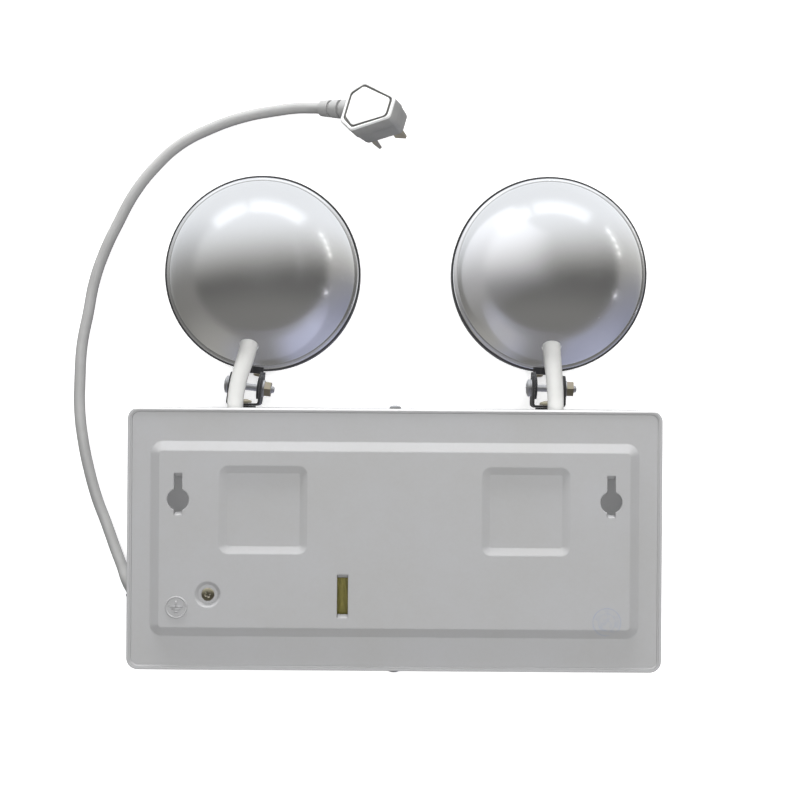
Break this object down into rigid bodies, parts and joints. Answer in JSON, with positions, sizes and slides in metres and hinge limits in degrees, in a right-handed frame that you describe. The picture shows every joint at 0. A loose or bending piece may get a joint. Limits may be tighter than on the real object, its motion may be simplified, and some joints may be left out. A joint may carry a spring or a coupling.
{
  "type": "twin head emergency light",
  "caption": "Wall-mounted twin head emergency light with a flat steel case, round tilting lamp heads on steel brackets, keyhole back plate and mains lead with plug.",
  "frame": {"origin": "centre of the case's front face, which lies on the surface", "axes": "+Z leaves the back plate towards the wall it hangs on, +Y points to the lamp heads, +X is right seen from behind"},
  "size_m": [0.2913, 0.2898, 0.0501],
  "materials": {
    "plate_paint": "fine powder coat, satin",
    "cover_paint": "white powder coat",
    "shell_plastic": "glossy white",
    "black_plastic": "satin black",
    "black_steel": "black powder coat",
    "yellow_zinc": "yellow-passivated zinc",
    "bright_steel": "bright zinc",
    "cell_wrap": "olive shrink wrap",
    "white_plastic": "satin white",
    "white_pvc": "white flexible PVC",
    "clear_plastic": "clear",
    "green_board": "solder mask",
    "dark_foam": "foam",
    "bright_coat": "vacuum metallised",
    "pin_metal": "nickel-plated brass",
    "green_lens": "translucent green",
    "red_lens": "translucent red",
    "yellow_lens": "translucent yellow",
    "emitter": "phosphor"
  },
  "bodies": {
    "case": {"back_plate": "plate_paint", "front_cover": "cover_paint", "cover_screws": "bright_steel", "earth_screw": "yellow_zinc", "earth_nut": "yellow_zinc", "battery_pack": "cell_wrap", "battery_strap": "bright_steel", "battery_pad": "dark_foam", "control_board": "green_board", "board_screws": "bright_steel", "board_parts": "black_plastic", "transformer": "black_steel", "terminal_block": "white_plastic", "mains_light": "green_lens", "charge_light": "red_lens", "fault_light": "yellow_lens", "button_switch": "black_plastic", "button_spring": "bright_steel", "cord_gland": "black_plastic", "power_cord": "white_pvc", "plug_collar": "white_pvc", "plug_body": "white_plastic", "plug_pins": "pin_metal", "swivel_washers": "black_plastic", "swivel_screws": "yellow_zinc", "swivel_nuts": "yellow_zinc", "lead_sleeve_left": "white_pvc", "lead_sleeve_right": "white_pvc"},
    "yoke_left": {"lower_bracket_left": "black_steel", "pivot_screw_left": "yellow_zinc", "pivot_nut_left": "yellow_zinc", "pivot_washers_left": "bright_steel"},
    "head_left": {"head_fork_left": "black_steel", "fork_screws_left": "yellow_zinc", "bezel_ring_left": "black_plastic", "head_lens_left": "clear_plastic", "lens_gasket_left": "dark_foam", "head_shell_left": "shell_plastic", "reflector_left": "bright_coat", "led_board_left": "white_plastic", "led_emitters_left": "emitter"},
    "yoke_right": {"lower_bracket_right": "black_steel", "pivot_screw_right": "yellow_zinc", "pivot_nut_right": "yellow_zinc", "pivot_washers_right": "bright_steel"},
    "head_right": {"head_fork_right": "black_steel", "fork_screws_right": "yellow_zinc", "bezel_ring_right": "black_plastic", "head_lens_right": "clear_plastic", "lens_gasket_right": "dark_foam", "head_shell_right": "shell_plastic", "reflector_right": "bright_coat", "led_board_right": "white_plastic", "led_emitters_right": "emitter"},
    "button": {"test_button": "red_lens"}
  },
  "joints": [
    {"name": "swivel_left", "type": "hinge", "parent": "case", "child": "yoke_left", "pos_m": [-0.0755, 0.0625, 0.02], "axis": [0, 1, 0], "range_deg": [-40, 40], "deforming": ["lead_sleeve_left"]},
    {"name": "tilt_left", "type": "hinge", "parent": "yoke_left", "child": "head_left", "pos_m": [-0.07426, 0.07293, 0.02], "axis": [0.993, -0.1184, 0], "range_deg": [-35, 45], "deforming": ["lead_sleeve_left"]},
    {"name": "swivel_right", "type": "hinge", "parent": "case", "child": "yoke_right", "pos_m": [0.0755, 0.0625, 0.02], "axis": [0, 1, 0], "range_deg": [-40, 40], "deforming": ["lead_sleeve_right"]},
    {"name": "tilt_right", "type": "hinge", "parent": "yoke_right", "child": "head_right", "pos_m": [0.0757, 0.073, 0.02], "axis": [0.9998, -0.0192, 0], "range_deg": [-35, 45], "deforming": ["lead_sleeve_right"]},
    {"name": "press_button", "type": "slide", "parent": "case", "child": "button", "axis": [0, 0, 1], "range_m": [0, 0.0015], "stiffness_N_per_m": 300, "springref_m": -0.001, "deforming": ["button_spring"]}
  ]
}
